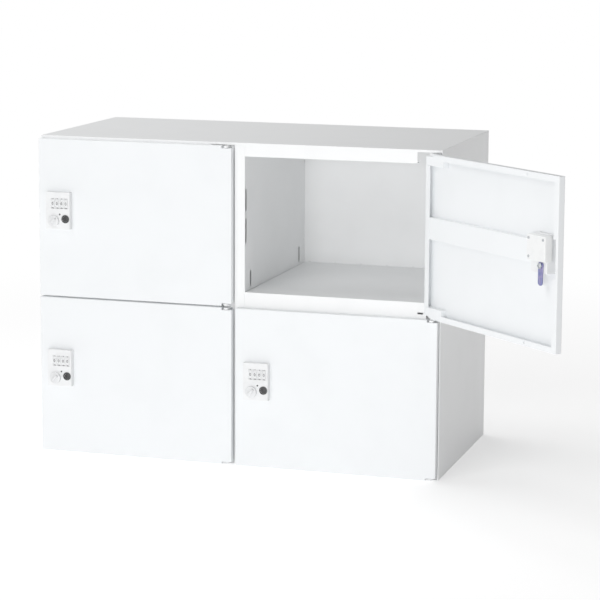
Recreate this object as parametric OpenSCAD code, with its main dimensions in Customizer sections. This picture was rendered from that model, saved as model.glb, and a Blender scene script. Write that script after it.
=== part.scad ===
// Steel parcel locker: four compartments, pan doors on corner pivot hinges, dial locks.
// Lengths in millimetres. X runs along the front, Y from the front to the back, Z up.
// The origin is the middle of the base.

/* [Cabinet] */
// Overall width
cabinet_w = 900; // [880:5:1000]
// Overall height
cabinet_h = 700; // [690:5:760]
// Overall depth, closed doors included
cabinet_d = 450; // [400:10:515]
// Thickness of the folded sheet steel
sheet = 1; // [0.8:0.1:1.2]
// Height of the header over the upper compartments
header_h = 29; // [26:1:40]
// Height of the upper compartments' floor above the base
shelf_z = 379; // [370:1:384]
// Height of the plinth under the lower compartments
plinth_h = 32; // [26:1:40]

/* [Doors] */
// Width of a door
door_w = 443.5; // [430:0.5:443.5]
// Height of a door
door_h = 344.5; // [335:0.5:344.5]
// Depth of the folded door pan
door_t = 15; // [14:0.5:16]
// Gap between the upper and the lower doors
door_gap = 3.5; // [3:0.5:5]
// Clearance under the lower doors
base_gap = 1.5; // [1:0.5:3]
// Width of the return lips along the sides of the pan
side_lip = 14; // [10:1:15]
// Width of the return lips along the top and bottom of the pan
end_lip = 12; // [8:1:15]
// Angle at which the upper right door stands open
open_angle = 138.7; // [0:0.1:140]

/* [Hinges] */
// Distance from the hinge edge of a door to its pivot
pivot_in = 13.5; // [12:0.5:14]
// Distance from the front face of a door to its pivot
pivot_back = 5; // [4.5:0.5:6]
// Radius of a pivot pin
pin_r = 2.5; // [2:0.25:3]
// Clearance between a pin and its bore, on the radius
running_gap = 0.05; // [0.02:0.01:0.08]
// Height of the notch that the hinge bracket sits in
notch_h = 5.5; // [5:0.5:7]

/* [Lock] */
// Height of the middle of a lock above the bottom of its door
lock_z = 190; // [180:1:200]
// Distance from the free edge of a door to the middle of its lock
lock_x = 49.5; // [48:0.5:52]
// Width of the lock housing
plate_w = 56; // [54:1:58]
// Height of the lock housing
plate_h = 81; // [78:1:84]
// How far the housing stands out of the door
plate_t = 14; // [12:1:16]
// Radius of a number wheel
dial_r = 20; // [19:0.5:20]
// Width of a number wheel
dial_w = 7.6; // [7:0.1:7.8]
// Length of the latch arm from its spindle
cam_reach = 39; // [36:0.5:39]

/* [Hidden] */
$fn = 48;
e = 0.01;

COLUMNS = ["left", "right"];
ROWS = ["lower", "upper"];
DOOR_PARTS = ["door_panel", "door_stiffener", "hinge_arms", "lock_case", "lock_back_cover",
    "dial_1", "dial_2", "dial_3", "dial_4", "dial_axle", "lock_knob", "lock_cam", "key_plug"];
CABINET_PARTS = ["left_side_panel", "right_side_panel", "top_panel", "bottom_panel",
    "back_panel", "centre_partition", "compartment_shelves", "pivot_hinges"];
function door_node(c, r, part) = str(ROWS[r], "_", COLUMNS[c], "_", part);

half_w = cabinet_w / 2;
inner_w = half_w - sheet;
frame_y = door_t + 1;
back_y = cabinet_d - sheet;
top_z = cabinet_h - sheet;
rebate_y = frame_y + 9.5;
post_d = 30;
rim_w = 2.7;
crown_h = 5;
crown_z = cabinet_h - crown_h;
lip_drop = 20;
return_d = 20;

// Doors: place of each column's free edge, hinge edge and pivot, and each row's bottom edge
door_x = [-half_w + 0.7, half_w - 3 - door_w];
hinge_x = [for (x = door_x) x + door_w];
pivot_x = [for (x = hinge_x) x - pivot_in];
door_z = [base_gap, base_gap + door_h + door_gap];

// Compartments: the wall that the lock strikes and the wall beside the hinges
strike_x = [for (x = door_x) x + 15.5];
hinge_wall_x = [for (x = hinge_x) x - 28];
step_x = hinge_x[0] + 1.3;
header_notch_w = 51;
lip_slot_x = [-47, -35];
lip_slot_z = [4.5, 8.5];

// Hinge brackets, measured from a door's bottom or top edge
notch_w = pivot_in + 9;
knuckle_r = 5.5;
knuckle = [0.9, notch_h - 1.1];
pin_end = 25;
arm_w = 61;
arm_h = 24;
arm_wall = 1.6;

// Lock, measured from the door's free edge and bottom edge
dial_pitch = 10.2;
dials_x = lock_x + 4.2;
dials_z = lock_z + 16;
dial_y = dial_r - 2 - plate_t;
axle_r = 2;
knob_x = lock_x - 9;
knob_z = lock_z - 22;
knob_r = 12.5;
spindle_r = 4;
key_x = lock_x + 18;
key_z = lock_z - 17.5;
key_r = 6;
body_x = [24.5, 74.5];
body_z = [153, 229];
body_y = [13.7, 21, 26.5];
cam_y = [22.3, 24.8];
cam_w = 14;
cover_x = [18, 77];
cover_z = [177, 227];
cover_y = 31;
cover_wall = 1.5;
stiffener_x = 80;
stiffener_z = [167, 213];

WHITE = [0.93, 0.94, 0.95];
STEEL = [0.62, 0.64, 0.66];
ZINC_BLUE = [0.42, 0.44, 0.62];
BLACK = [0.08, 0.08, 0.09];

// A box from its lowest to its highest corner
module block(lo, hi) {
    translate(lo)
        cube(hi - lo);
}

// Moves the cabinet's own measure, whose Y starts at the closed doors' faces, to the origin
module in_cabinet() {
    translate([0, -cabinet_d / 2, 0])
        children();
}

// Door measure: x from the free edge, y from the face, z from the bottom edge
function opened(c, r) = (c == 1 && r == 1) ? open_angle : 0;
module in_door(c, r) {
    in_cabinet()
        translate([pivot_x[c], pivot_back, door_z[r]])
            rotate([0, 0, opened(c, r)])
                translate([pivot_in - door_w, -pivot_back, 0])
                    children();
}

// A cylinder along Y from y0 to y1
module rod_y(x, z, r, y0, y1) {
    translate([x, y0, z])
        rotate([-90, 0, 0])
            cylinder(r = r, h = y1 - y0);
}

// A cylinder along X
module rod_x(y, z, r, x0, x1) {
    translate([x0, y, z])
        rotate([0, 90, 0])
            cylinder(r = r, h = x1 - x0);
}

// ---- Cabinet ----

// Upright slots that a lock's arm swings into, in a wall that faces the compartments
module strike_slots(x) {
    for (z = door_z) {
        block([x - 2, 19.5, z + knob_z - 34], [x + 1, 29.5, z + knob_z + 19]);
        block([x - 2, 19.5, z + knob_z + 37], [x + 1, 29.5, z + knob_z + 82]);
    }
}

// A round-ended upright slot through a wall that faces the compartments
module oblong(x, y, z, w, h) {
    for (end = [w / 2, h - w / 2])
        rod_x(y, z + end, w / 2, x - 2, x + 1);
    block([x - 2, y - w / 2, z + w / 2], [x + 1, y + w / 2, z + h - w / 2]);
}

module left_side_panel() {
    color(WHITE)
        in_cabinet() {
            block([-half_w, frame_y, sheet], [-inner_w, cabinet_d, top_z]);
            block([-inner_w - e, frame_y, sheet], [strike_x[0], frame_y + sheet, crown_z]);
            difference() {
                block([strike_x[0] - sheet, frame_y + e, sheet],
                    [strike_x[0], frame_y + post_d, crown_z]);
                strike_slots(strike_x[0]);
            }
        }
}

module right_side_panel() {
    color(WHITE)
        in_cabinet() {
            block([inner_w, frame_y, sheet], [half_w, cabinet_d, top_z]);
            block([half_w - rim_w, frame_y, sheet], [inner_w + e, rebate_y + sheet, crown_z]);
            block([hinge_wall_x[1], rebate_y, sheet], [half_w - rim_w + e, rebate_y + sheet, top_z]);
            block([hinge_wall_x[1], rebate_y, sheet], [hinge_wall_x[1] + sheet, rebate_y + post_d, top_z]);
        }
}

// Front face and lower return of the header over one column
module header(x0, x1) {
    z0 = cabinet_h - header_h;
    block([x0, frame_y, z0], [x1, frame_y + sheet, top_z + e]);
    block([x0, frame_y, z0], [x1, frame_y + return_d, z0 + sheet]);
}

module top_panel() {
    color(WHITE)
        in_cabinet() {
            block([-half_w, frame_y, top_z], [half_w, cabinet_d, cabinet_h]);
            header(strike_x[0], hinge_x[0] - header_notch_w);
            header(strike_x[1], hinge_x[1] - header_notch_w);
            block([-inner_w, frame_y, crown_z], [inner_w, frame_y + sheet, top_z + e]);
        }
}

// Floor of a compartment, cut away round the front post and the hinge flange
module floor_sheet(c, z) {
    x0 = c == 0 ? -inner_w : strike_x[1] + 1;
    x1 = c == 0 ? hinge_wall_x[0] - 1 : inner_w;
    difference() {
        block([x0, frame_y, z - sheet], [x1, back_y, z]);
        if (c == 0)
            block([x0 - 1, frame_y - 1, z - 2], [strike_x[0], frame_y + post_d + 1, z + 1]);
        if (c == 1)
            block([hinge_wall_x[1], frame_y - 1, z - 2], [x1 + 1, rebate_y + post_d + 1, z + 1]);
    }
}

module bottom_panel() {
    color(WHITE)
        in_cabinet()
            difference() {
                union() {
                    block([-half_w, frame_y, 0], [half_w, cabinet_d, sheet]);
                    for (c = [0, 1]) {
                        floor_sheet(c, plinth_h);
                        block([strike_x[c], frame_y, sheet - e],
                            [hinge_wall_x[c], frame_y + sheet, plinth_h]);
                    }
                }
                for (x = [-400, 400], y = [-170, 170])
                    translate([x, cabinet_d / 2 + y, -1])
                        cylinder(r = 4.5, h = 5);
            }
}

module back_panel() {
    color(WHITE)
        in_cabinet()
            block([-inner_w, back_y, sheet], [inner_w, cabinet_d, top_z]);
}

module centre_partition() {
    color(WHITE)
        in_cabinet() {
            difference() {
                union() {
                    block([strike_x[1] - sheet, frame_y + sheet, sheet], [strike_x[1], back_y, top_z]);
                    block([strike_x[1] - sheet, frame_y, sheet], [strike_x[1], frame_y + 2, crown_z]);
                }
                strike_slots(strike_x[1]);
                for (z = [plinth_h, shelf_z]) {
                    oblong(strike_x[1], frame_y + 40, z + 7, 9, 35);
                    oblong(strike_x[1], back_y - 43, z + 6, 9, 36);
                    for (up = [55, 234])
                        rod_x(back_y - 5, z + up, 2.5, strike_x[1] - 2, strike_x[1] + 1);
                }
            }
            block([hinge_wall_x[0], rebate_y, sheet], [hinge_wall_x[0] + sheet, back_y, top_z]);
            block([step_x, frame_y, sheet], [strike_x[1] - sheet + e, frame_y + sheet, crown_z]);
            block([step_x, frame_y, sheet], [step_x + sheet, frame_y + sheet, crown_z]);
            block([step_x, frame_y + sheet, sheet], [step_x + sheet, rebate_y + sheet, top_z]);
            block([hinge_wall_x[0], rebate_y, sheet], [step_x + e, rebate_y + sheet, top_z]);
        }
}

module compartment_shelves() {
    lip_z = door_z[1] - lip_drop;
    color(WHITE)
        in_cabinet()
            for (c = [0, 1])
                difference() {
                    union() {
                        floor_sheet(c, shelf_z);
                        block([strike_x[c], frame_y, lip_z], [hinge_wall_x[c], frame_y + sheet, shelf_z]);
                        block([strike_x[c], frame_y, lip_z],
                            [hinge_wall_x[c], frame_y + return_d, lip_z + sheet]);
                    }
                    block([hinge_x[c] + lip_slot_x[0], frame_y - 1, door_z[1] + lip_slot_z[0]],
                        [hinge_x[c] + lip_slot_x[1], frame_y + 3, door_z[1] + lip_slot_z[1]]);
                }
}

// One leaf with its pin. up = 1 holds a door's bottom edge, up = -1 its top edge
module hinge_leaf(x, z, up) {
    lo = z + (up > 0 ? knuckle[0] : -knuckle[1]);
    hi = z + (up > 0 ? knuckle[1] : -knuckle[0]);
    pin_lo = up > 0 ? lo : z - pin_end;
    pin_hi = up > 0 ? z + pin_end : hi;
    translate([x, pivot_back, lo])
        cylinder(r = knuckle_r, h = hi - lo);
    translate([x, pivot_back, pin_lo])
        cylinder(r = pin_r, h = pin_hi - pin_lo);
    block([x - knuckle_r, pivot_back, lo], [x + knuckle_r, rebate_y, hi]);
}

// The plate that fixes a leaf, or a pair of leaves, to the hinge flange
module hinge_plate(x, z0, z1) {
    block([x - 11, rebate_y - 2.5, z0], [x + 11, rebate_y, z1]);
}

module pivot_hinges() {
    low = door_z[0];
    mid = [door_z[0] + door_h, door_z[1]];
    high = door_z[1] + door_h;
    color(WHITE)
        in_cabinet()
            for (x = pivot_x) {
                hinge_leaf(x, low, 1);
                hinge_plate(x, sheet + e, low + 20);
                hinge_leaf(x, mid[0], -1);
                hinge_leaf(x, mid[1], 1);
                hinge_plate(x, mid[0] - 14, mid[1] + 14);
                hinge_leaf(x, high, -1);
                hinge_plate(x, high - 18, high - 0.5);
            }
}

// ---- Doors, in door measure ----

// Both ends of a door: the shape drawn for the bottom end, and its mirror at the top
module at_both_ends() {
    children();
    translate([0, 0, door_h])
        mirror([0, 0, 1])
            children();
}

module door_panel() {
    w = door_w;
    h = door_h;
    t = door_t;
    s = sheet;
    color(WHITE)
        difference() {
            block([0, 0, 0], [w, t, h]);
            block([s, s, s], [w - s, t - s, h - s]);
            block([side_lip, t - s - e, end_lip], [w - side_lip, t + 1, h - end_lip]);
            block([body_x[0] - 0.5, -1, body_z[0] - 0.5], [body_x[1] + 0.5, s + 1, body_z[1] + 0.5]);
            block([6, t - s - e, lock_z - 45], [side_lip + 1, t + 1, lock_z + 32]);
            at_both_ends() {
                block([w - notch_w, -1, -1], [w + 1, t + 1, notch_h]);
                block([w - arm_w, t - s - e, s], [w - s, t + 1, arm_h]);
                block([98.5, t - s - e, 4], [101.5, t + 1, 10]);
            }
        }
}

module door_stiffener() {
    x0 = stiffener_x;
    x1 = door_w - sheet;
    y1 = door_t - sheet;
    color(WHITE)
        difference() {
            block([x0, sheet, stiffener_z[0]], [x1, y1, stiffener_z[1]]);
            block([x0 - 1, 0, stiffener_z[0] + sheet], [x1 + 1, y1 - sheet, stiffener_z[1] - sheet]);
        }
}

module hinge_arms() {
    x1 = door_w - sheet;
    x0 = door_w - arm_w;
    pivot = door_w - pivot_in;
    color(WHITE)
        at_both_ends()
            difference() {
                union() {
                    block([x0, sheet, notch_h], [x1, door_t, arm_h]);
                    block([x0, sheet, sheet], [door_w - notch_w, door_t, notch_h + e]);
                }
                block([x0 + arm_wall, 0, notch_h + 2], [x1 - arm_wall, door_t - arm_wall, arm_h - arm_wall]);
                translate([pivot, pivot_back, 0])
                    cylinder(r = pin_r + running_gap, h = arm_h + 1);
            }
}

module lock_case() {
    w = plate_w / 2;
    h = plate_h / 2;
    wheels = 1.5 * dial_pitch + dial_w / 2;
    front = 1.2;
    window_h = 22.6;
    inner = cover_wall + 0.3;
    color(WHITE)
        difference() {
            union() {
                block([lock_x - w, -plate_t, lock_z - h], [lock_x + w, 0, lock_z + h]);
                block([body_x[0], -e, body_z[0]], [body_x[1], body_y[0], body_z[1]]);
                block([body_x[0], 0, body_z[0]], [body_x[1], body_y[1], cover_z[0] - 0.5]);
                block([body_x[0], 0, cover_z[0] + inner], [body_x[1], body_y[2], cover_z[1] - inner]);
                for (x = [body_x[0] + 5, body_x[1] - 5])
                    rod_y(x, cover_z[0] + 6.5, 3.5, body_y[2] - e, cover_y - cover_wall);
                rod_y(key_x, key_z, key_r + 2.8, -plate_t - 1.2, 0);
            }
            intersection() {
                rod_x(dial_y, dials_z, dial_r + 1, dials_x - wheels - 0.7, dials_x + wheels + 0.7);
                block([dials_x - wheels - 5, -plate_t + front, dials_z - dial_r - 5],
                    [dials_x + wheels + 5, dial_y + dial_r + 5, dials_z + dial_r + 5]);
            }
            for (i = [0:3])
                block([dial_x(i) - dial_w / 2 - 0.3, -plate_t - 1, dials_z - window_h / 2],
                    [dial_x(i) + dial_w / 2 + 0.3, -plate_t + 2, dials_z + window_h / 2]);
            rod_x(dial_y, dials_z, axle_r, dials_x - wheels - 1.7, dials_x + wheels + 1.7);
            rod_y(knob_x, knob_z, spindle_r + running_gap, -plate_t - 1, body_y[1] + 1);
            rod_y(key_x, key_z, key_r + running_gap, -plate_t - 2, 8);
            rod_y(lock_x + 4.7, lock_z - 7.8, 2, -plate_t - 1, -plate_t + 2);
        }
}

module lock_back_cover() {
    c = cover_wall;
    y0 = door_t - sheet;
    color(WHITE)
        difference() {
            block([cover_x[0], y0, cover_z[0]], [cover_x[1], cover_y, cover_z[1]]);
            block([cover_x[0] + c, y0 - 1, cover_z[0] + c], [cover_x[1] - c, cover_y - c, cover_z[1] - c]);
        }
}

function dial_x(i) = dials_x + (i - 1.5) * dial_pitch;

// A number wheel with a shallow finger groove between each two of its ten numbers
module dial(i) {
    x0 = dial_x(i) - dial_w / 2;
    color(WHITE)
        difference() {
            rod_x(dial_y, dials_z, dial_r, x0, x0 + dial_w);
            rod_x(dial_y, dials_z, axle_r + running_gap, x0 - 1, x0 + dial_w + 1);
            for (n = [0:9])
                translate([x0 - 1, dial_y, dials_z])
                    rotate([n * 36, 0, 0])
                        translate([0, 0, dial_r + 0.9])
                            rotate([0, 90, 0])
                                cylinder(r = 1.6, h = dial_w + 2, $fn = 16);
        }
}

module dial_axle() {
    wheels = 1.5 * dial_pitch + dial_w / 2;
    color(STEEL)
        rod_x(dial_y, dials_z, axle_r, dials_x - wheels - 1.6, dials_x + wheels + 1.6);
}

module lock_knob() {
    face = -plate_t - 0.3;
    grip = 9;
    color(WHITE) {
        rod_y(knob_x, knob_z, knob_r, face - 5, face);
        rod_y(knob_x, knob_z, spindle_r, face - e, cam_y[1] + 1.2);
        translate([knob_x, face - 12, knob_z])
            rotate([0, -45, 0]) {
                block([-grip, 0, -3.2], [grip, 7 + e, 3.2]);
                for (end = [-grip, grip])
                    rod_y(end, 0, 3.2, 0, 7 + e);
            }
    }
}

module lock_cam() {
    tip = cam_w / 2;
    color(ZINC_BLUE)
        difference() {
            union() {
                rod_y(knob_x, knob_z, 8, cam_y[0], cam_y[1]);
                rod_y(knob_x, knob_z - cam_reach + tip, tip, cam_y[0], cam_y[1]);
                block([knob_x - tip, cam_y[0], knob_z - cam_reach + tip], [knob_x + tip, cam_y[1], knob_z]);
            }
            rod_y(knob_x, knob_z, spindle_r, cam_y[0] - 1, cam_y[1] + 1);
        }
}

module key_plug() {
    color(BLACK)
        difference() {
            rod_y(key_x, key_z, key_r, -plate_t - 1.6, 7.5);
            block([key_x - 0.7, -plate_t - 3, key_z - 3.6], [key_x + 0.7, -plate_t + 6, key_z + 3.6]);
        }
}

module door_part(part) {
    if (part == "door_panel") door_panel();
    if (part == "door_stiffener") door_stiffener();
    if (part == "hinge_arms") hinge_arms();
    if (part == "lock_case") lock_case();
    if (part == "lock_back_cover") lock_back_cover();
    if (part == "dial_1") dial(0);
    if (part == "dial_2") dial(1);
    if (part == "dial_3") dial(2);
    if (part == "dial_4") dial(3);
    if (part == "dial_axle") dial_axle();
    if (part == "lock_knob") lock_knob();
    if (part == "lock_cam") lock_cam();
    if (part == "key_plug") key_plug();
}

left_side_panel();
right_side_panel();
top_panel();
bottom_panel();
back_panel();
centre_partition();
compartment_shelves();
pivot_hinges();
for (r = [0, 1], c = [0, 1], part = DOOR_PARTS)
    in_door(c, r) door_part(part);
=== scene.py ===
"""Looks of a white steel parcel locker with number-wheel locks, built round its CAD frame.

Lengths are in metres.
"""

import math

import bmesh
import bpy
from mathutils import Matrix, Vector


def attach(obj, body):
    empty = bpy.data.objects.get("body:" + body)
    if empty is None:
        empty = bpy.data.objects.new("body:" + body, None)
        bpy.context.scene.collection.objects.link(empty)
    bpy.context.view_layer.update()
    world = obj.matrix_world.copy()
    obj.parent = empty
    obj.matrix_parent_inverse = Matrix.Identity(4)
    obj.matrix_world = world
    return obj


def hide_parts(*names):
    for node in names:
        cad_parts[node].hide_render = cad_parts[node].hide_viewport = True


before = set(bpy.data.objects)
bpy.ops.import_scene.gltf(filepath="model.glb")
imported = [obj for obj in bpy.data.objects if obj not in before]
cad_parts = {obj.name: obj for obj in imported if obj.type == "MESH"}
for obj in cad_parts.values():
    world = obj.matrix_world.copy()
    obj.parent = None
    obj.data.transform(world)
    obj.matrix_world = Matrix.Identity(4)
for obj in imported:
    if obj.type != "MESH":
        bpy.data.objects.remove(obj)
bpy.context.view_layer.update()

MM = 0.001
scene = bpy.context.scene

# ---- Measures of the CAD part, and the places of small parts on it ----

CABINET_D = 450 * MM
DOOR_W = 443.5 * MM
PIVOT_IN, PIVOT_BACK = 13.5 * MM, 5 * MM
PIVOT_X = {"left": -19.3 * MM, "right": 433.5 * MM}
DOOR_Z = {"lower": 1.5 * MM, "upper": 349.5 * MM}
OPEN_ANGLE = {"upper_right": math.radians(138.7)}
DOORS = [f"{row}_{column}" for row in ("lower", "upper") for column in ("left", "right")]

LOCK_X, LOCK_Z = 49.5 * MM, 190 * MM
DIAL_R, DIAL_W, DIAL_PITCH = 20 * MM, 7.6 * MM, 10.2 * MM
DIAL_X, DIAL_Y, DIAL_Z = LOCK_X + 4.2 * MM, 4 * MM, LOCK_Z + 16 * MM
KNOB_X, KNOB_Z = LOCK_X - 9 * MM, LOCK_Z - 22 * MM
KEY_X, KEY_Z = LOCK_X + 18 * MM, LOCK_Z - 17.5 * MM
# Middle of a black disc painted as the shade inside a small hole on the lock's face
SHADED_HOLE_X, SHADED_HOLE_Z = LOCK_X + 4.7 * MM, LOCK_Z - 7.8 * MM
CAM_BACK = 24.8 * MM
COVER_BACK = 31 * MM
COVER_SCREWS = ((25 * MM, 220 * MM), (70 * MM, 220 * MM), (70 * MM, 184 * MM))

HINGE_LEVELS = [z * MM for z in (14.0, 340.0, 355.5, 680.0)]
HINGE_SCREW_APART = 6.2 * MM
HINGE_SCREW_BACK = 23 * MM


def door_place(door):
    """From a door's own measures (x from its free edge, y from its face, z from its foot) to the frame."""
    row, column = door.split("_")
    pivot = Matrix.Translation((PIVOT_X[column], PIVOT_BACK - CABINET_D / 2, DOOR_Z[row]))
    turn = Matrix.Rotation(OPEN_ANGLE.get(door, 0.0), 4, "Z")
    return pivot @ turn @ Matrix.Translation((PIVOT_IN - DOOR_W, -PIVOT_BACK, 0))


# ---- Finishes ----


class Wire:
    """A node's output that takes part in sums: each operator adds a Math node."""

    def __init__(self, finish, socket):
        self.finish, self.socket = finish, socket

    def maths(self, operation, *values):
        return self.finish.node("ShaderNodeMath", {"operation": operation}, dict(enumerate(values)))

    def __add__(self, other):
        return self.maths("ADD", self, other)

    def __sub__(self, other):
        return self.maths("SUBTRACT", self, other)

    def __mul__(self, other):
        return self.maths("MULTIPLY", self, other)

    def __truediv__(self, other):
        return self.maths("DIVIDE", self, other)

    def __radd__(self, other):
        return self.maths("ADD", other, self)

    def __rsub__(self, other):
        return self.maths("SUBTRACT", other, self)

    def __rmul__(self, other):
        return self.maths("MULTIPLY", other, self)

    def __rtruediv__(self, other):
        return self.maths("DIVIDE", other, self)

    def over(self, low, high):
        """0 at low and below, 1 at high and above, smooth between."""
        return self.finish.node("ShaderNodeMapRange", {"interpolation_type": "SMOOTHSTEP"},
                                {"Value": self, "From Min": low, "From Max": high})


class Finish:
    """A material whose nodes are added by what they are, with their settings and sockets."""

    def __init__(self, name, **constants):
        self.material = bpy.data.materials.new(name)
        self.material.use_nodes = True
        self.tree = self.material.node_tree
        self.tree.nodes.clear()
        self.shader = self.tree.nodes.new("ShaderNodeBsdfPrincipled")
        output = self.tree.nodes.new("ShaderNodeOutputMaterial")
        self.tree.links.new(self.shader.outputs[0], output.inputs["Surface"])
        for socket, value in constants.items():
            self.feed(socket.replace("_", " "), value)

    def node(self, kind, settings=None, sockets=None, output=0):
        made = self.tree.nodes.new(kind)
        for key, value in (settings or {}).items():
            setattr(made, key, value)
        for key, value in (sockets or {}).items():
            self.plug(made.inputs[key], value)
        return Wire(self, made.outputs[output])

    def plug(self, socket, value):
        if isinstance(value, Wire):
            self.tree.links.new(value.socket, socket)
        else:
            socket.default_value = value

    def feed(self, socket, value):
        self.plug(self.shader.inputs[socket], value)

    def place(self):
        """The point on the piece, in metres."""
        return self.node("ShaderNodeTexCoord", output="Object")

    def stretched(self, scale):
        return self.node("ShaderNodeMapping", {}, {"Vector": self.place(), "Scale": scale})

    def grain(self, per_metre, detail=2.0, roughness=0.5, vector=None):
        return self.node("ShaderNodeTexNoise", {"noise_dimensions": "3D"},
                         {"Vector": vector or self.place(), "Scale": per_metre, "Detail": detail,
                          "Roughness": roughness})

    def mix(self, amount, first, second):
        """first where amount is 0, second where it is 1: colours."""
        return self.node("ShaderNodeMix", {"data_type": "RGBA"},
                         {"Factor": amount, 6: first, 7: second}, output=2)

    def bumps(self, *layers):
        """layers of (height 0 to 1, depth in metres), one bump over another."""
        normal = None
        for height, depth in layers:
            sockets = {"Height": height, "Distance": depth, "Strength": 1.0}
            if normal:
                sockets["Normal"] = normal
            normal = self.node("ShaderNodeBump", {}, sockets)
        self.feed("Normal", normal)


def colour(red, green, blue):
    return (red, green, blue, 1.0)


def powder_coat(name, tone, shade=0.965):
    """Baked powder paint: the orange peel of its skin, the sheet's slight waves and a faint haze of wear."""
    f = Finish(name, Metallic=0.0, IOR=1.5, Coat_Weight=0.0)
    clouds = f.grain(9, 3.0)
    specks = f.grain(420, 1.0)
    dull = colour(*(c * shade for c in tone))
    f.feed("Base Color", f.mix(clouds.over(0.42, 0.75) * 0.7 + specks.over(0.66, 0.74) * 0.3,
                               colour(*tone), dull))
    f.feed("Roughness", 0.36 + f.grain(70, 2.0) * 0.08 + clouds * 0.06)
    f.bumps((f.grain(5.5, 1.0), 0.35 * MM), (f.grain(640, 1.5), 0.012 * MM))
    return f.material


WELD_PITCH = 62 * MM
WELD_ROWS = [z * MM for z in (7, 378, 693)]
WELD_COLUMNS = [x * MM for x in (-443, -26, 443)]


def weld_dimple(along, across, line):
    """The round marks that welding tips leave along a line of a sheet: 1 at a mark's middle, 0 off it."""
    beside = along.maths("PINGPONG", along / WELD_PITCH + 40.5, 0.5) * WELD_PITCH
    off = across - line
    apart = along.maths("SQRT", beside * beside + off * off)
    return 1.0 - apart.over(2.2 * MM, 4.6 * MM)


def back_coat(name, tone):
    """The back panel's powder paint over spot welds along its edges, the floors and the partition."""
    f = Finish(name, Metallic=0.0, IOR=1.5)
    x, z = (f.node("ShaderNodeSeparateXYZ", {}, {0: f.place()}, output=axis) for axis in (0, 2))
    marks = 0.0
    for row in WELD_ROWS:
        marks = marks + weld_dimple(x, z, row)
    for column in WELD_COLUMNS:
        marks = marks + weld_dimple(z, x, column)
    clouds = f.grain(9, 3.0)
    f.feed("Base Color", f.mix(clouds.over(0.4, 0.75) * 0.25 + marks * 0.7, colour(*tone),
                               colour(*(c * 0.86 for c in tone))))
    f.feed("Roughness", 0.38 + f.grain(70, 2.0) * 0.08 + clouds * 0.06)
    f.bumps((f.grain(5.5, 1.0), 0.35 * MM), (1.0 - marks, 0.7 * MM), (f.grain(640, 1.5), 0.012 * MM))
    return f.material


def moulded(name, tone, rough=0.42, shade=0.94):
    """Moulded plastic with the fine spark texture of its tool."""
    f = Finish(name, Metallic=0.0, IOR=1.49)
    spark = f.grain(2600, 1.0)
    haze = f.grain(60, 2.0)
    f.feed("Base Color", f.mix(haze.over(0.4, 0.8), colour(*tone), colour(*(c * shade for c in tone))))
    f.feed("Roughness", rough + spark * 0.1 + haze * 0.05)
    f.bumps((spark, 0.01 * MM))
    return f.material


def plated(name, tones, rough=0.3):
    """Plated steel: colour clouds of the passivation over fine rolling lines."""
    f = Finish(name, Metallic=1.0)
    clouds = f.grain(130, 3.0)
    lines = f.grain(900, 2.0, vector=f.stretched((1.0, 1.0, 0.06)))
    f.feed("Base Color", f.mix(clouds.over(0.35, 0.65), *(colour(*t) for t in tones)))
    f.feed("Roughness", rough + lines * 0.16 + clouds * 0.06)
    f.bumps((lines, 0.006 * MM))
    return f.material


def ink(name, tone, rough):
    f = Finish(name, Metallic=0.0)
    f.feed("Base Color", colour(*tone))
    f.feed("Roughness", rough + f.grain(900, 1.0) * 0.12)
    f.bumps((f.grain(1500, 1.0), 0.004 * MM))
    return f.material


CABINET_PAINT = powder_coat("cabinet powder coat", (0.905, 0.915, 0.92))
BACK_PAINT = back_coat("back panel powder coat", (0.905, 0.915, 0.92))
DOOR_PAINT = powder_coat("door powder coat", (0.845, 0.868, 0.885))
HINGE_PAINT = powder_coat("hinge powder coat", (0.86, 0.87, 0.88), shade=0.93)
HOUSING = moulded("lock housing plastic", (0.82, 0.83, 0.84))
COVER = moulded("lock cover plastic", (0.84, 0.85, 0.85), rough=0.48)
WHEEL = moulded("number wheel plastic", (0.78, 0.79, 0.80), rough=0.36)
THUMB = moulded("thumb turn plastic", (0.74, 0.75, 0.76), rough=0.34)
NUMBERS = ink("number ink", (0.012, 0.012, 0.014), 0.4)
CYLINDER = ink("black key cylinder", (0.012, 0.012, 0.013), 0.26)
# Black that paints the shade inside a small hole on the lock's face
SHADED_HOLE_BLACK = ink("black disc painted as a shaded hole", (0.015, 0.015, 0.017), 0.2)
BRIGHT = plated("ground steel", ((0.62, 0.63, 0.64), (0.5, 0.51, 0.52)))
ZINC_BLUE = plated("blue passivated zinc", ((0.17, 0.19, 0.44), (0.30, 0.27, 0.50)), rough=0.26)
ZINC = plated("clear zinc plate", ((0.56, 0.58, 0.60), (0.46, 0.49, 0.53)), rough=0.32)


# ---- Making pieces ----


def add_piece(name, mesh, material, body, smooth=True):
    """A new object riding on a body of the frame."""
    piece = bpy.data.objects.new(name, mesh)
    scene.collection.objects.link(piece)
    mesh.materials.clear()
    mesh.materials.append(material)
    if smooth:
        mesh.polygons.foreach_set("use_smooth", [True] * len(mesh.polygons))
    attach(piece, body)
    return piece


def to_mesh(bm, name, place=None):
    bmesh.ops.recalc_face_normals(bm, faces=bm.faces)
    mesh = bpy.data.meshes.new(name)
    bm.to_mesh(mesh)
    bm.free()
    if place is not None:
        mesh.transform(place)
    return mesh


CUT_EDGE = 1.35 * MM     # a face narrower than this is the cut edge of a sheet
SHORT_EDGE = 1.7 * MM    # an edge shorter than this gets no more than a cut edge's softening
BEND_SHARE = 0.42        # of the room beside an edge that its bend may take up
FLAT = math.radians(1.0)
SHARP = math.radians(30.0)


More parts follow.
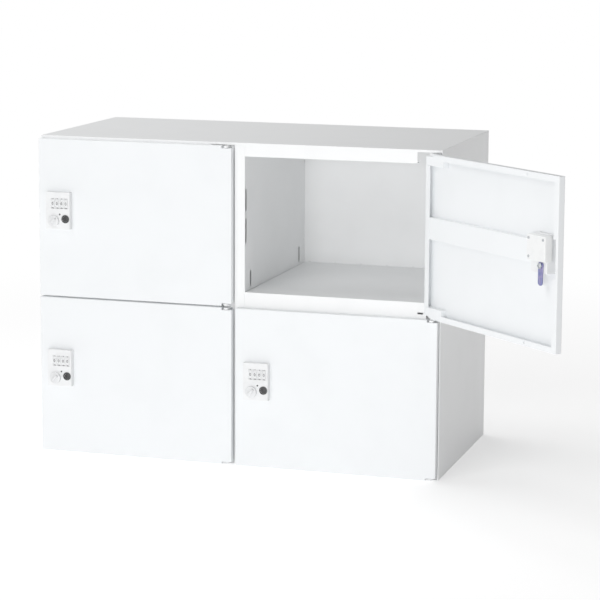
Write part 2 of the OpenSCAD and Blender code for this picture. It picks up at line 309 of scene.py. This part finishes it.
def flat_regions(bm):
    """A number for each face, shared by touching faces in one plane, and each region's outline edges."""
    region, edges = {}, []
    for seed in bm.faces:
        if seed in region:
            continue
        number, outline, queue = len(edges), set(), [seed]
        region[seed] = number
        while queue:
            face = queue.pop()
            for edge in face.edges:
                others = [f for f in edge.link_faces if f is not face]
                if len(others) == 1 and edge.calc_face_angle(0.0) < FLAT:
                    if others[0] not in region:
                        region[others[0]] = number
                        queue.append(others[0])
                else:
                    outline.add(edge)
        edges.append(outline)
    return region, edges


def room_beside(edge, face, outline):
    """How far the face's plane goes on, straight in from the edge, before its outline."""
    a, b = (v.co for v in edge.verts)
    along = (b - a).normalized()
    inward = face.normal.cross(along)
    if (face.calc_center_median() - (a + b) / 2).dot(inward) < 0:
        inward = -inward
    room, end = 1.0, min(0.3 * MM / (b - a).length, 0.2)
    for share in (end, 0.2, 0.5, 0.8, 1 - end):
        start = a.lerp(b, share)
        for other in outline:
            if other is edge:
                continue
            p, q = (v.co - start for v in other.verts)
            p_along, q_along = p.dot(along), q.dot(along)
            if (p_along > 0) == (q_along > 0):
                continue
            depth = p.dot(inward) + (q - p).dot(inward) * p_along / (p_along - q_along)
            if 1e-6 < depth < room:
                room = depth
    return room


def formed(node, material, body, fold=1.5 * MM, inner=0.5 * MM, cut=0.28 * MM, segments=3):
    """A folded sheet or moulding with real bends: a fold has a radius, a cut edge is only softened."""
    bm = bmesh.new()
    bm.from_mesh(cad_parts[node].data)
    bmesh.ops.remove_doubles(bm, verts=bm.verts, dist=0.002 * MM)
    bm.normal_update()
    weights = bm.edges.layers.float.new("bevel_weight_edge")
    region, outlines = flat_regions(bm)
    widest = max(fold, inner, cut)
    for edge in bm.edges:
        if len(edge.link_faces) != 2 or edge.calc_face_angle(0.0) < SHARP:
            continue
        room = min(room_beside(edge, f, outlines[region[f]]) for f in edge.link_faces)
        if room < CUT_EDGE:
            radius = cut
        else:
            radius = fold if edge.is_convex else inner
        if edge.calc_length() < SHORT_EDGE:
            radius = min(radius, cut)
        edge[weights] = min(radius, BEND_SHARE * room) / widest
    mesh = to_mesh(bm, f"{node}_form")
    piece = add_piece(f"{node}_formed", mesh, material, body)
    bevel = piece.modifiers.new("bends", "BEVEL")
    bevel.width, bevel.segments, bevel.limit_method = widest, segments, "WEIGHT"
    bevel.use_clamp_overlap, bevel.loop_slide = False, False
    even = piece.modifiers.new("even shading", "WEIGHTED_NORMAL")
    even.mode, even.weight, even.keep_sharp = "FACE_AREA", 90, False
    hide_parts(node)
    return piece


def turned(profile, steps=48):
    """A solid of revolution about Y from (y, radius) points. A radius of 0 closes an end."""
    bm = bmesh.new()
    rings = []
    for y, radius in profile:
        if radius == 0:
            rings.append([bm.verts.new((0, y, 0))])
        else:
            rings.append([bm.verts.new((radius * math.cos(t), y, radius * math.sin(t)))
                          for t in (2 * math.pi * i / steps for i in range(steps))])
    for one, two in zip(rings, rings[1:]):
        for i in range(steps):
            j = (i + 1) % steps
            corners = [one[i % len(one)], one[j % len(one)], two[j % len(two)], two[i % len(two)]]
            unique = list(dict.fromkeys(corners))
            if len(unique) > 2:
                bm.faces.new(unique)
    return bm


def rounded_end(y_flat, y_side, radius, fillet, steps=5):
    """Profile points from the middle of an end face, round its edge, to the side: (y, radius)."""
    sign = 1 if y_side > y_flat else -1
    points = [(y_flat, 0.0)]
    for i in range(steps + 1):
        t = math.pi / 2 * i / steps
        points.append((y_flat + sign * fillet * (1 - math.cos(t)), radius - fillet * (1 - math.sin(t))))
    return points


def carved(mesh, cutters):
    """The mesh with the cutters' solids taken out of it."""
    body = bpy.data.objects.new("carving", mesh)
    scene.collection.objects.link(body)
    tools = []
    for cutter in cutters:
        tool = bpy.data.objects.new("cutter", cutter)
        scene.collection.objects.link(tool)
        cut = body.modifiers.new("cut", "BOOLEAN")
        cut.operation, cut.object, cut.solver = "DIFFERENCE", tool, "EXACT"
        tools.append(tool)
    bpy.context.view_layer.update()
    result = bpy.data.meshes.new_from_object(body.evaluated_get(bpy.context.evaluated_depsgraph_get()))
    for spent in [body, *tools]:
        bpy.data.objects.remove(spent)
    return result


def brick(lo, hi):
    bm = bmesh.new()
    bmesh.ops.create_cube(bm, size=1.0)
    size = [h - l for l, h in zip(lo, hi)]
    middle = [(h + l) / 2 for l, h in zip(lo, hi)]
    bmesh.ops.scale(bm, vec=size, verts=bm.verts)
    bmesh.ops.translate(bm, vec=middle, verts=bm.verts)
    return bm


# ---- Screws ----


def screw_mesh(head_r, head_h):
    """A pan head on its surface at y 0, standing out towards +Y, with a cross recess."""
    dome = [(head_h * math.sin(t), head_r * (0.55 + 0.45 * math.cos(t)) if t < 1.5 else 0.0)
            for t in (math.pi / 2 * i / 7 for i in range(8))]
    head = to_mesh(turned([(-0.2 * MM, 0.0), (-0.2 * MM, head_r), *dome[:-1],
                           (head_h, head_r * 0.45), (head_h, 0.0)], 40), "screw head")
    arm, deep = head_r * 0.5, head_h * 0.45
    slots = [to_mesh(brick((-a, deep, -b), (a, head_h + MM, b)), "cross")
             for a, b in ((arm, head_r * 0.11), (head_r * 0.11, arm))]
    return carved(head, slots)


COVER_SCREW = screw_mesh(2.9 * MM, 1.7 * MM)
HINGE_SCREW = screw_mesh(3.4 * MM, 1.5 * MM)


def add_screw(name, pattern, at, facing, body, place=Matrix.Identity(4)):
    """A screw head at a point, its head turned to the direction facing."""
    mesh = pattern.copy()
    spin = Matrix.Rotation(0.4 + 2.1 * (sum(map(ord, name)) % 7), 4, "Y")
    turn = Vector((0, 1, 0)).rotation_difference(Vector(facing)).to_matrix().to_4x4()
    mesh.transform(place @ Matrix.Translation(at) @ turn @ spin)
    return add_piece(name, mesh, ZINC, body, smooth=False)


# ---- Cabinet ----

for panel in ("left_side_panel", "right_side_panel", "top_panel", "bottom_panel", "back_panel",
              "centre_partition", "compartment_shelves"):
    paint, cut = (BACK_PAINT, 0.42 * MM) if panel == "back_panel" else (CABINET_PAINT, 0.28 * MM)
    formed(panel, paint, "cabinet", cut=cut)
formed("pivot_hinges", HINGE_PAINT, "cabinet", fold=0.35 * MM, inner=0.35 * MM, cut=0.35 * MM)

for column, x in PIVOT_X.items():
    for number, z in enumerate(HINGE_LEVELS):
        for side in (-1, 1):
            add_screw(f"hinge_screw_{column}_{number}_{'a' if side < 0 else 'b'}", HINGE_SCREW,
                      (x + side * HINGE_SCREW_APART, HINGE_SCREW_BACK - CABINET_D / 2, z), (0, -1, 0),
                      "cabinet")


# ---- Number wheels ----


WHEEL_FLAT_R = 19.55 * MM
NUMBER_R = 19.57 * MM
NUMBER_STEP = math.radians(36)


def wheel_mesh():
    """A wheel about X through the origin, with ten flats between finger grooves."""
    bm = bmesh.new()
    groove_r, half_flat = 18.9 * MM, math.radians(13)
    outline = []
    for number in range(10):
        middle = NUMBER_STEP * number
        for i in range(-4, 5):
            t = half_flat * i / 4
            outline.append((middle + t, min(WHEEL_FLAT_R / math.cos(t), DIAL_R)))
        for share in (0.25, 0.5, 0.75):
            t = half_flat + (NUMBER_STEP - 2 * half_flat) * share
            outline.append((middle + t, groove_r if share == 0.5 else (groove_r + 0.25 * MM)))
    half = DIAL_W / 2
    bore = 2.05 * MM
    sections = [(-half, bore, True), (-half, 0.7 * MM, False), (-half + 0.2 * MM, 0.25 * MM, False),
                (-half + 0.55 * MM, 0.0, False), (half - 0.55 * MM, 0.0, False),
                (half - 0.2 * MM, 0.25 * MM, False), (half, 0.7 * MM, False), (half, bore, True)]
    rings = []
    for x, inset, fixed in sections:
        rings.append([bm.verts.new((x, -(inset if fixed else r - inset) * math.cos(t),
                                    (inset if fixed else r - inset) * math.sin(t))) for t, r in outline])
    for one, two in zip(rings, rings[1:] + rings[:1]):
        for i in range(len(one)):
            j = (i + 1) % len(one)
            bm.faces.new((one[i], one[j], two[j], two[i]))
    return to_mesh(bm, "wheel")


def number_meshes():
    """The ten numbers of a wheel as thin inlays on its flats, 0 facing -Y."""
    joined = bmesh.new()
    for number in range(10):
        text = bpy.data.curves.new("number", "FONT")
        text.body, text.size = str(number), 8.8 * MM
        text.align_x, text.align_y = "CENTER", "CENTER"
        text.extrude, text.offset = 0.05 * MM, 0.18 * MM
        text.resolution_u = 4
        shape = bpy.data.objects.new("number", text)
        scene.collection.objects.link(shape)
        bpy.context.view_layer.update()
        mesh = bpy.data.meshes.new_from_object(shape.evaluated_get(bpy.context.evaluated_depsgraph_get()))
        bpy.data.objects.remove(shape)
        xs = [v.co.x for v in mesh.vertices]
        ys = [v.co.y for v in mesh.vertices]
        centre = Matrix.Translation((-(min(xs) + max(xs)) / 2, -(min(ys) + max(ys)) / 2, 0))
        stand = Matrix.Rotation(math.pi / 2, 4, "X")
        mesh.transform(Matrix.Rotation(-NUMBER_STEP * number, 4, "X")
                       @ Matrix.Translation((0, -NUMBER_R, 0)) @ stand @ centre)
        joined.from_mesh(mesh)
        bpy.data.meshes.remove(mesh)
    bmesh.ops.remove_doubles(joined, verts=joined.verts, dist=0.001 * MM)
    return to_mesh(joined, "numbers")


WHEEL_MESH = wheel_mesh()
NUMBER_MESH = number_meshes()


# ---- Thumb turn, key cylinder and latch ----


def knob_mesh():
    """The round of the thumb turn, and the spindle behind it that goes through to the latch."""
    face, base, radius = -20.0 * MM, -14.3 * MM, 12.5 * MM
    profile = rounded_end(face, base, radius, 1.4 * MM)
    profile += [(base - 0.5 * MM, radius), (base, radius - 0.5 * MM), (base, 4.0 * MM)]
    profile += [(CAM_BACK + 0.8 * MM, 4.0 * MM), (CAM_BACK + 1.2 * MM, 3.5 * MM), (CAM_BACK + 1.2 * MM, 0.0)]
    return to_mesh(turned(profile, 64), "thumb turn")


def grip_mesh():
    """The grip across the thumb turn: a bar that narrows to its top, with round ends and hollowed flanks."""
    bm = bmesh.new()
    levels = [(-19.8, 10.6, 4.3), (-20.6, 9.9, 3.3), (-22.4, 9.5, 2.75),
              (-24.6, 9.4, 2.75), (-25.7, 9.2, 2.5), (-26.3, 8.6, 1.9)]
    rings = []
    for y, length, width in levels:
        ring = []
        for i in range(40):
            t = 2 * math.pi * i / 40
            c, s = math.cos(t), math.sin(t)
            reach = (length - width) * MM
            ring.append(bm.verts.new((math.copysign(reach, c) * (abs(c) ** 0.25) + width * MM * c, y * MM,
                                      width * MM * s)))
        rings.append(ring)
    for one, two in zip(rings, rings[1:]):
        for i in range(40):
            j = (i + 1) % 40
            bm.faces.new((one[i], one[j], two[j], two[i]))
    bm.faces.new(rings[0])
    bm.faces.new(rings[-1])
    return to_mesh(bm, "grip")


def key_mesh():
    """The key cylinder's turning plug with its keyway."""
    front, back, radius = -15.6 * MM, 7.5 * MM, 6.0 * MM
    plug = to_mesh(turned(rounded_end(front, back, radius, 0.5 * MM, 3)
                          + [(back, radius), (back, 0.0)], 48), "plug")
    way = to_mesh(brick((-0.7 * MM, front - MM, -3.6 * MM), (0.7 * MM, front + 7 * MM, 3.6 * MM)), "keyway")
    step = to_mesh(brick((-1.3 * MM, front - MM, -1.0 * MM), (0.2 * MM, front + 6 * MM, 0.6 * MM)), "ward")
    return carved(plug, [way, step])


def ring_mesh(inner, outer, front, back, fillet):
    """A ring about Y with a rounded front edge."""
    profile = [(back, inner), (front + fillet * 0.4, inner), (front, inner + fillet * 0.4)]
    for i in range(5):
        t = math.pi / 2 * i / 4
        profile.append((front + fillet * (1 - math.cos(t)), outer - fillet * (1 - math.sin(t))))
    profile += [(back, outer), (back, inner)]
    return to_mesh(turned(profile, 56), "ring")


def nut_mesh(flats, bore, y0, y1):
    """A hexagon nut about Y with chamfered corners."""
    corner, chamfer = flats / math.cos(math.pi / 6), 0.25 * (y1 - y0)
    profile = [(y0, bore), (y0, flats * 0.96), (y0 + chamfer, corner),
               (y1 - chamfer, corner), (y1, flats * 0.96), (y1, bore), (y0, bore)]
    return to_mesh(turned(profile, 6), "nut")


KNOB_MESH, GRIP_MESH, KEY_MESH = knob_mesh(), grip_mesh(), key_mesh()
KEY_RING_MESH = ring_mesh(6.15 * MM, 9.1 * MM, -15.9 * MM, -14.0 * MM, 0.8 * MM)
NUT_MESH = nut_mesh(5.5 * MM, 3.9 * MM, CAM_BACK, CAM_BACK + 3.6 * MM)
# A thin black disc standing out from the lock's face: painted shade where a small hole is
SHADED_HOLE_DISC_MESH = to_mesh(turned(rounded_end(-13.95 * MM, -13 * MM, 1.95 * MM, 0.3 * MM, 3)
                           + [(-12.6 * MM, 1.95 * MM), (-12.6 * MM, 0.0)], 32), "lens")


def at(x, z):
    return Matrix.Translation((x, 0, z))


for door in DOORS:
    place = door_place(door)
    panel_body = f"{door}_door"
    formed(f"{door}_door_panel", DOOR_PAINT, panel_body, fold=1.6 * MM)
    formed(f"{door}_door_stiffener", DOOR_PAINT, panel_body, fold=1.6 * MM)
    formed(f"{door}_hinge_arms", DOOR_PAINT, panel_body, fold=1.2 * MM)
    formed(f"{door}_lock_case", HOUSING, panel_body,
           fold=1.0 * MM, inner=0.4 * MM, cut=0.3 * MM, segments=4)
    formed(f"{door}_lock_back_cover", COVER, panel_body,
           fold=1.8 * MM, inner=0.6 * MM, cut=0.4 * MM, segments=4)
    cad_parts[f"{door}_dial_axle"].data.materials.clear()
    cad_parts[f"{door}_dial_axle"].data.materials.append(BRIGHT)

    for number in range(4):
        body = f"{door}_dial_{number + 1}_wheel"
        spot = place @ Matrix.Translation((DIAL_X + (number - 1.5) * DIAL_PITCH, DIAL_Y, DIAL_Z))
        wheel = WHEEL_MESH.copy()
        wheel.transform(spot)
        wheel_piece = add_piece(f"{door}_dial_{number + 1}_wheel", wheel, WHEEL, body,
                                smooth=False)
        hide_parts(f"{door}_dial_{number + 1}")
        numbers = NUMBER_MESH.copy()
        numbers.transform(spot)
        add_piece(f"{door}_dial_{number + 1}_numbers", numbers, NUMBERS, body, smooth=False)

    latch = f"{door}_latch"
    knob = KNOB_MESH.copy()
    knob.transform(place @ at(KNOB_X, KNOB_Z))
    knob_piece = add_piece(f"{door}_thumb_turn", knob, THUMB, latch)
    knob.set_sharp_from_angle(angle=math.radians(40))
    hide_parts(f"{door}_lock_knob")
    grip = GRIP_MESH.copy()
    grip.transform(place @ at(KNOB_X, KNOB_Z) @ Matrix.Rotation(-math.radians(45), 4, "Y"))
    add_piece(f"{door}_thumb_grip", grip, THUMB, latch)
    grip.set_sharp_from_angle(angle=math.radians(50))
    formed(f"{door}_lock_cam", ZINC_BLUE, latch, fold=0.4 * MM, cut=0.4 * MM, segments=2)
    nut = NUT_MESH.copy()
    nut.transform(place @ at(KNOB_X, KNOB_Z))
    add_piece(f"{door}_spindle_nut", nut, ZINC, latch, smooth=False)

    plug = KEY_MESH.copy()
    plug.transform(place @ at(KEY_X, KEY_Z))
    key_piece = add_piece(f"{door}_key_cylinder", plug, CYLINDER, f"{door}_key",
                          smooth=False)
    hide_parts(f"{door}_key_plug")
    # The key ring, and the black disc painted as the shade inside a small hole beside the key
    for name, pattern, x, z, finish, slot in (
            ("key_ring", KEY_RING_MESH, KEY_X, KEY_Z, CYLINDER, "key_cylinder"),
            ("painted_hole_shade", SHADED_HOLE_DISC_MESH, SHADED_HOLE_X, SHADED_HOLE_Z, SHADED_HOLE_BLACK, "key_cylinder")):
        trim = pattern.copy()
        trim.transform(place @ at(x, z))
        add_piece(f"{door}_{name}", trim, finish, panel_body)
        trim.set_sharp_from_angle(angle=math.radians(40))
    for number, (x, z) in enumerate(COVER_SCREWS):
        add_screw(f"{door}_cover_screw_{number + 1}", COVER_SCREW, (x, COVER_BACK, z), (0, 1, 0),
                  panel_body, place)


# ---- Floor, light and camera ----


def add_floor():
    """A pale floor that takes the locker's shadow close by and is as white as the backdrop farther off."""
    bm = bmesh.new()
    bmesh.ops.create_grid(bm, x_segments=8, y_segments=8, size=14.0)
    mesh = to_mesh(bm, "studio floor")
    floor = bpy.data.objects.new("studio_floor", mesh)
    scene.collection.objects.link(floor)
    floor.location.z = -0.0004
    f = Finish("studio floor", Roughness=0.9, Specular_IOR_Level=0.1, Emission_Strength=1.0)
    away = f.node("ShaderNodeVectorMath", {"operation": "LENGTH"}, {0: f.place()}, output=1).over(0.2, 2.6)
    f.feed("Base Color", f.mix(away, colour(0.93, 0.93, 0.93), colour(0.0, 0.0, 0.0)))
    f.feed("Emission Color", f.mix(away, colour(0.42, 0.42, 0.42), colour(1.0, 1.0, 1.0)))
    mesh.materials.append(f.material)


def add_area_light(name, place, target, size, power):
    lamp = bpy.data.lights.new(name, "AREA")
    lamp.shape, lamp.size, lamp.energy = "DISK", size, power
    light = bpy.data.objects.new(name, lamp)
    light.location = place
    light.rotation_euler = (Vector(target) - Vector(place)).to_track_quat("-Z", "Y").to_euler()
    scene.collection.objects.link(light)


def light_studio():
    """A faint room light, a white backdrop for the camera and three softboxes."""
    world = bpy.data.worlds.new("studio")
    world.use_nodes = True
    tree = world.node_tree
    tree.nodes.clear()
    room, backdrop = tree.nodes.new("ShaderNodeBackground"), tree.nodes.new("ShaderNodeBackground")
    room.inputs["Color"].default_value = colour(0.97, 0.985, 1.0)
    room.inputs["Strength"].default_value = 0.03
    backdrop.inputs["Color"].default_value = colour(1.0, 1.0, 1.0)
    backdrop.inputs["Strength"].default_value = 1.0
    seen, mix = tree.nodes.new("ShaderNodeLightPath"), tree.nodes.new("ShaderNodeMixShader")
    output = tree.nodes.new("ShaderNodeOutputWorld")
    tree.links.new(seen.outputs["Is Camera Ray"], mix.inputs[0])
    tree.links.new(room.outputs[0], mix.inputs[1])
    tree.links.new(backdrop.outputs[0], mix.inputs[2])
    tree.links.new(mix.outputs[0], output.inputs["Surface"])
    scene.world = world
    add_area_light("front softbox", place=(0.25, -5.5, 0.75), target=(0.15, 0.0, 0.4), size=1.8, power=104)
    add_area_light("high softbox", place=(-1.1, -3.7, 3.5), target=(0.1, 0.0, 0.4), size=2.4, power=60)
    add_area_light("overhead softbox", place=(-0.9, 0.4, 3.3), target=(0.0, 0.1, 0.7), size=2.6, power=60)


CAMERA_PLACE = (1.530488, -4.680192, 1.213016)
CAMERA_YAW, CAMERA_PITCH, CAMERA_ROLL = (math.radians(a) for a in (17.25, 8.68, 0.29))


def set_camera():
    """The camera, turned to the left and tilted down and a little to its side."""
    yaw, pitch, roll = CAMERA_YAW, CAMERA_PITCH, CAMERA_ROLL
    ahead = Vector((-math.sin(yaw), math.cos(yaw), 0))
    right = Vector((math.cos(yaw), math.sin(yaw), 0))
    up = Vector((0, 0, 1))
    forward = ahead * math.cos(pitch) - up * math.sin(pitch)
    up = up * math.cos(pitch) + ahead * math.sin(pitch)
    right, up = right * math.cos(roll) + up * math.sin(roll), up * math.cos(roll) - right * math.sin(roll)
    lens = bpy.data.cameras.new("camera")
    lens.lens, lens.sensor_width = 134.344, 36.0
    lens.shift_y = -0.1
    lens.clip_start, lens.clip_end = 0.05, 100.0
    camera = bpy.data.objects.new("camera", lens)
    turn = Matrix((right, up, -forward)).transposed().to_4x4()
    camera.matrix_world = Matrix.Translation(CAMERA_PLACE) @ turn
    scene.collection.objects.link(camera)
    scene.camera = camera


scene.view_settings.view_transform = "Standard"
scene.view_settings.gamma = 1.35
add_floor()
light_studio()
set_camera()
